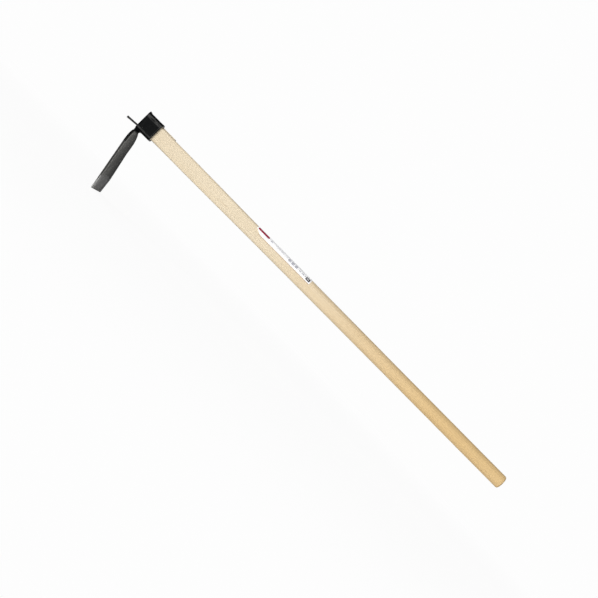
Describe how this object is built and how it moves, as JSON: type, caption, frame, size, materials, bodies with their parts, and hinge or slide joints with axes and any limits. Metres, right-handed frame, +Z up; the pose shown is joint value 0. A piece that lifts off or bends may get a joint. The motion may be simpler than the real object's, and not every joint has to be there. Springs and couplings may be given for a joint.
{
  "type": "draw hoe",
  "caption": "Draw hoe: plate blade on a rectangular steel socket, held by an iron wedge in the end of a long wooden handle that turns from rectangular to round.",
  "frame": {"origin": "centre of the handle's section in the plane of the socket's front mouth", "axes": "+X along the handle from the head to the butt, +Z up and away from the blade, which hangs towards -Z; the hoe is mirror symmetric about the plane Y = 0"},
  "size_m": [1.0801, 0.1196, 0.1951],
  "materials": {
    "handle_wood": "smooth sanded pale wood with fine grain along the handle",
    "shim_wood": "rough split wood",
    "wedge_iron": "dark forged scale, edges worn",
    "black_paint": "satin black baked paint",
    "forged_steel": "dark grey forged plate, lightly ground, clear lacquer",
    "edge_steel": "brighter ground steel",
    "label_paper": null
  },
  "bodies": {
    "hoe": {"handle": "handle_wood", "packing_shim": "shim_wood", "socket_ring": "black_paint", "ring_seam_weld": "black_paint", "neck": "black_paint", "neck_weld": "black_paint", "blade_weld": "black_paint", "blade_plate": "forged_steel", "edge_steel": "edge_steel", "label": "label_paper"},
    "wedge": {"wedge": "wedge_iron"}
  },
  "joints": [
    {"name": "wedge_drive", "type": "slide", "parent": "hoe", "child": "wedge", "axis": [-0.9973, 0, -0.0732], "range_m": [0, 0.045]}
  ]
}
